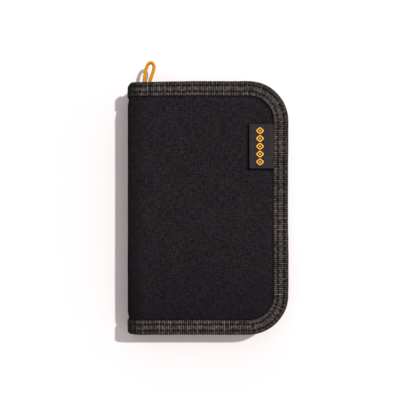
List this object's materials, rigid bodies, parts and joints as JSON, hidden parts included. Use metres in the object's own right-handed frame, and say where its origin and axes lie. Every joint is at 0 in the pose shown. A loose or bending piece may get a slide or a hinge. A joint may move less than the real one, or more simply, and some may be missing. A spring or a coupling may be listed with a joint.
{
  "type": "passport holder wallet",
  "caption": "Zip-around fabric passport wallet with a bound edge, a cord zip pull, a passport sleeve and card pockets inside.",
  "frame": {"origin": "centre of the back cover's outer face, on the surface the closed wallet lies on", "axes": "+X from the spine to the opening edge, +Y from the bottom edge to the top edge, +Z from the back cover to the front cover"},
  "size_m": [0.104, 0.1779, 0.02],
  "materials": {
    "canvas": "matt plain-weave canvas, near black",
    "pocket": "matt plain-weave canvas, near black",
    "foam": "soft foam sheet",
    "lining": "smooth ripstop lining, dark grey",
    "binding": "ribbed grosgrain tape, warm dark grey, sewn with black thread",
    "zip_tape": "herringbone zip tape, black",
    "zip_coil": "black nylon coil",
    "metal": "black lacquered die-cast metal",
    "label": "dark grey woven label with a plain yellow motif",
    "cord": "orange-yellow braided polyester cord"
  },
  "bodies": {
    "back": {"back_canvas": "canvas", "back_stiffener": "foam", "back_lining": "lining", "back_binding": "binding", "back_zip_tape": "zip_tape", "back_zip_coil": "zip_coil", "back_zip_stop_top": "metal", "back_zip_stop_bottom": "metal", "passport_sleeve_panel": "lining", "passport_sleeve_spine_side": "lining", "passport_sleeve_edge_side": "lining", "passport_sleeve_foot": "lining"},
    "spine": {"spine_canvas": "canvas", "spine_stiffener": "foam", "spine_lining": "lining", "spine_binding_top": "binding", "spine_binding_bottom": "binding", "zip_end_tab_top": "binding", "zip_end_tab_bottom": "binding"},
    "front": {"front_canvas": "canvas", "front_stiffener": "foam", "front_lining": "lining", "front_binding": "binding", "front_zip_tape": "zip_tape", "front_zip_coil": "zip_coil", "front_zip_stop_top": "metal", "front_zip_stop_bottom": "metal", "label": "label", "document_pocket": "lining", "card_pocket_1": "pocket", "card_pocket_2": "pocket", "card_pocket_3": "pocket", "pocket_seam_spine_side": "lining", "pocket_seam_edge_side": "lining"},
    "slider": {"slider_body": "metal"},
    "pull": {"puller": "metal", "pull_cord": "cord"}
  },
  "joints": [
    {"name": "spine_fold", "type": "hinge", "parent": "back", "child": "spine", "pos_m": [-0.0514, 0, 0.0006], "axis": [0, -1, 0], "range_deg": [0, 90]},
    {"name": "cover_fold", "type": "hinge", "parent": "spine", "child": "front", "pos_m": [-0.0514, 0, 0.0194], "axis": [0, -1, 0], "range_deg": [0, 90]},
    {"name": "slider_travel", "type": "slide", "parent": "back", "child": "slider", "axis": [1, 0, 0], "range_m": [0, 0.06]},
    {"name": "pull_swing", "type": "hinge", "parent": "slider", "child": "pull", "pos_m": [-0.0399, 0.0767, 0.01], "axis": [0, 0, 1], "range_deg": [-60, 40]}
  ]
}
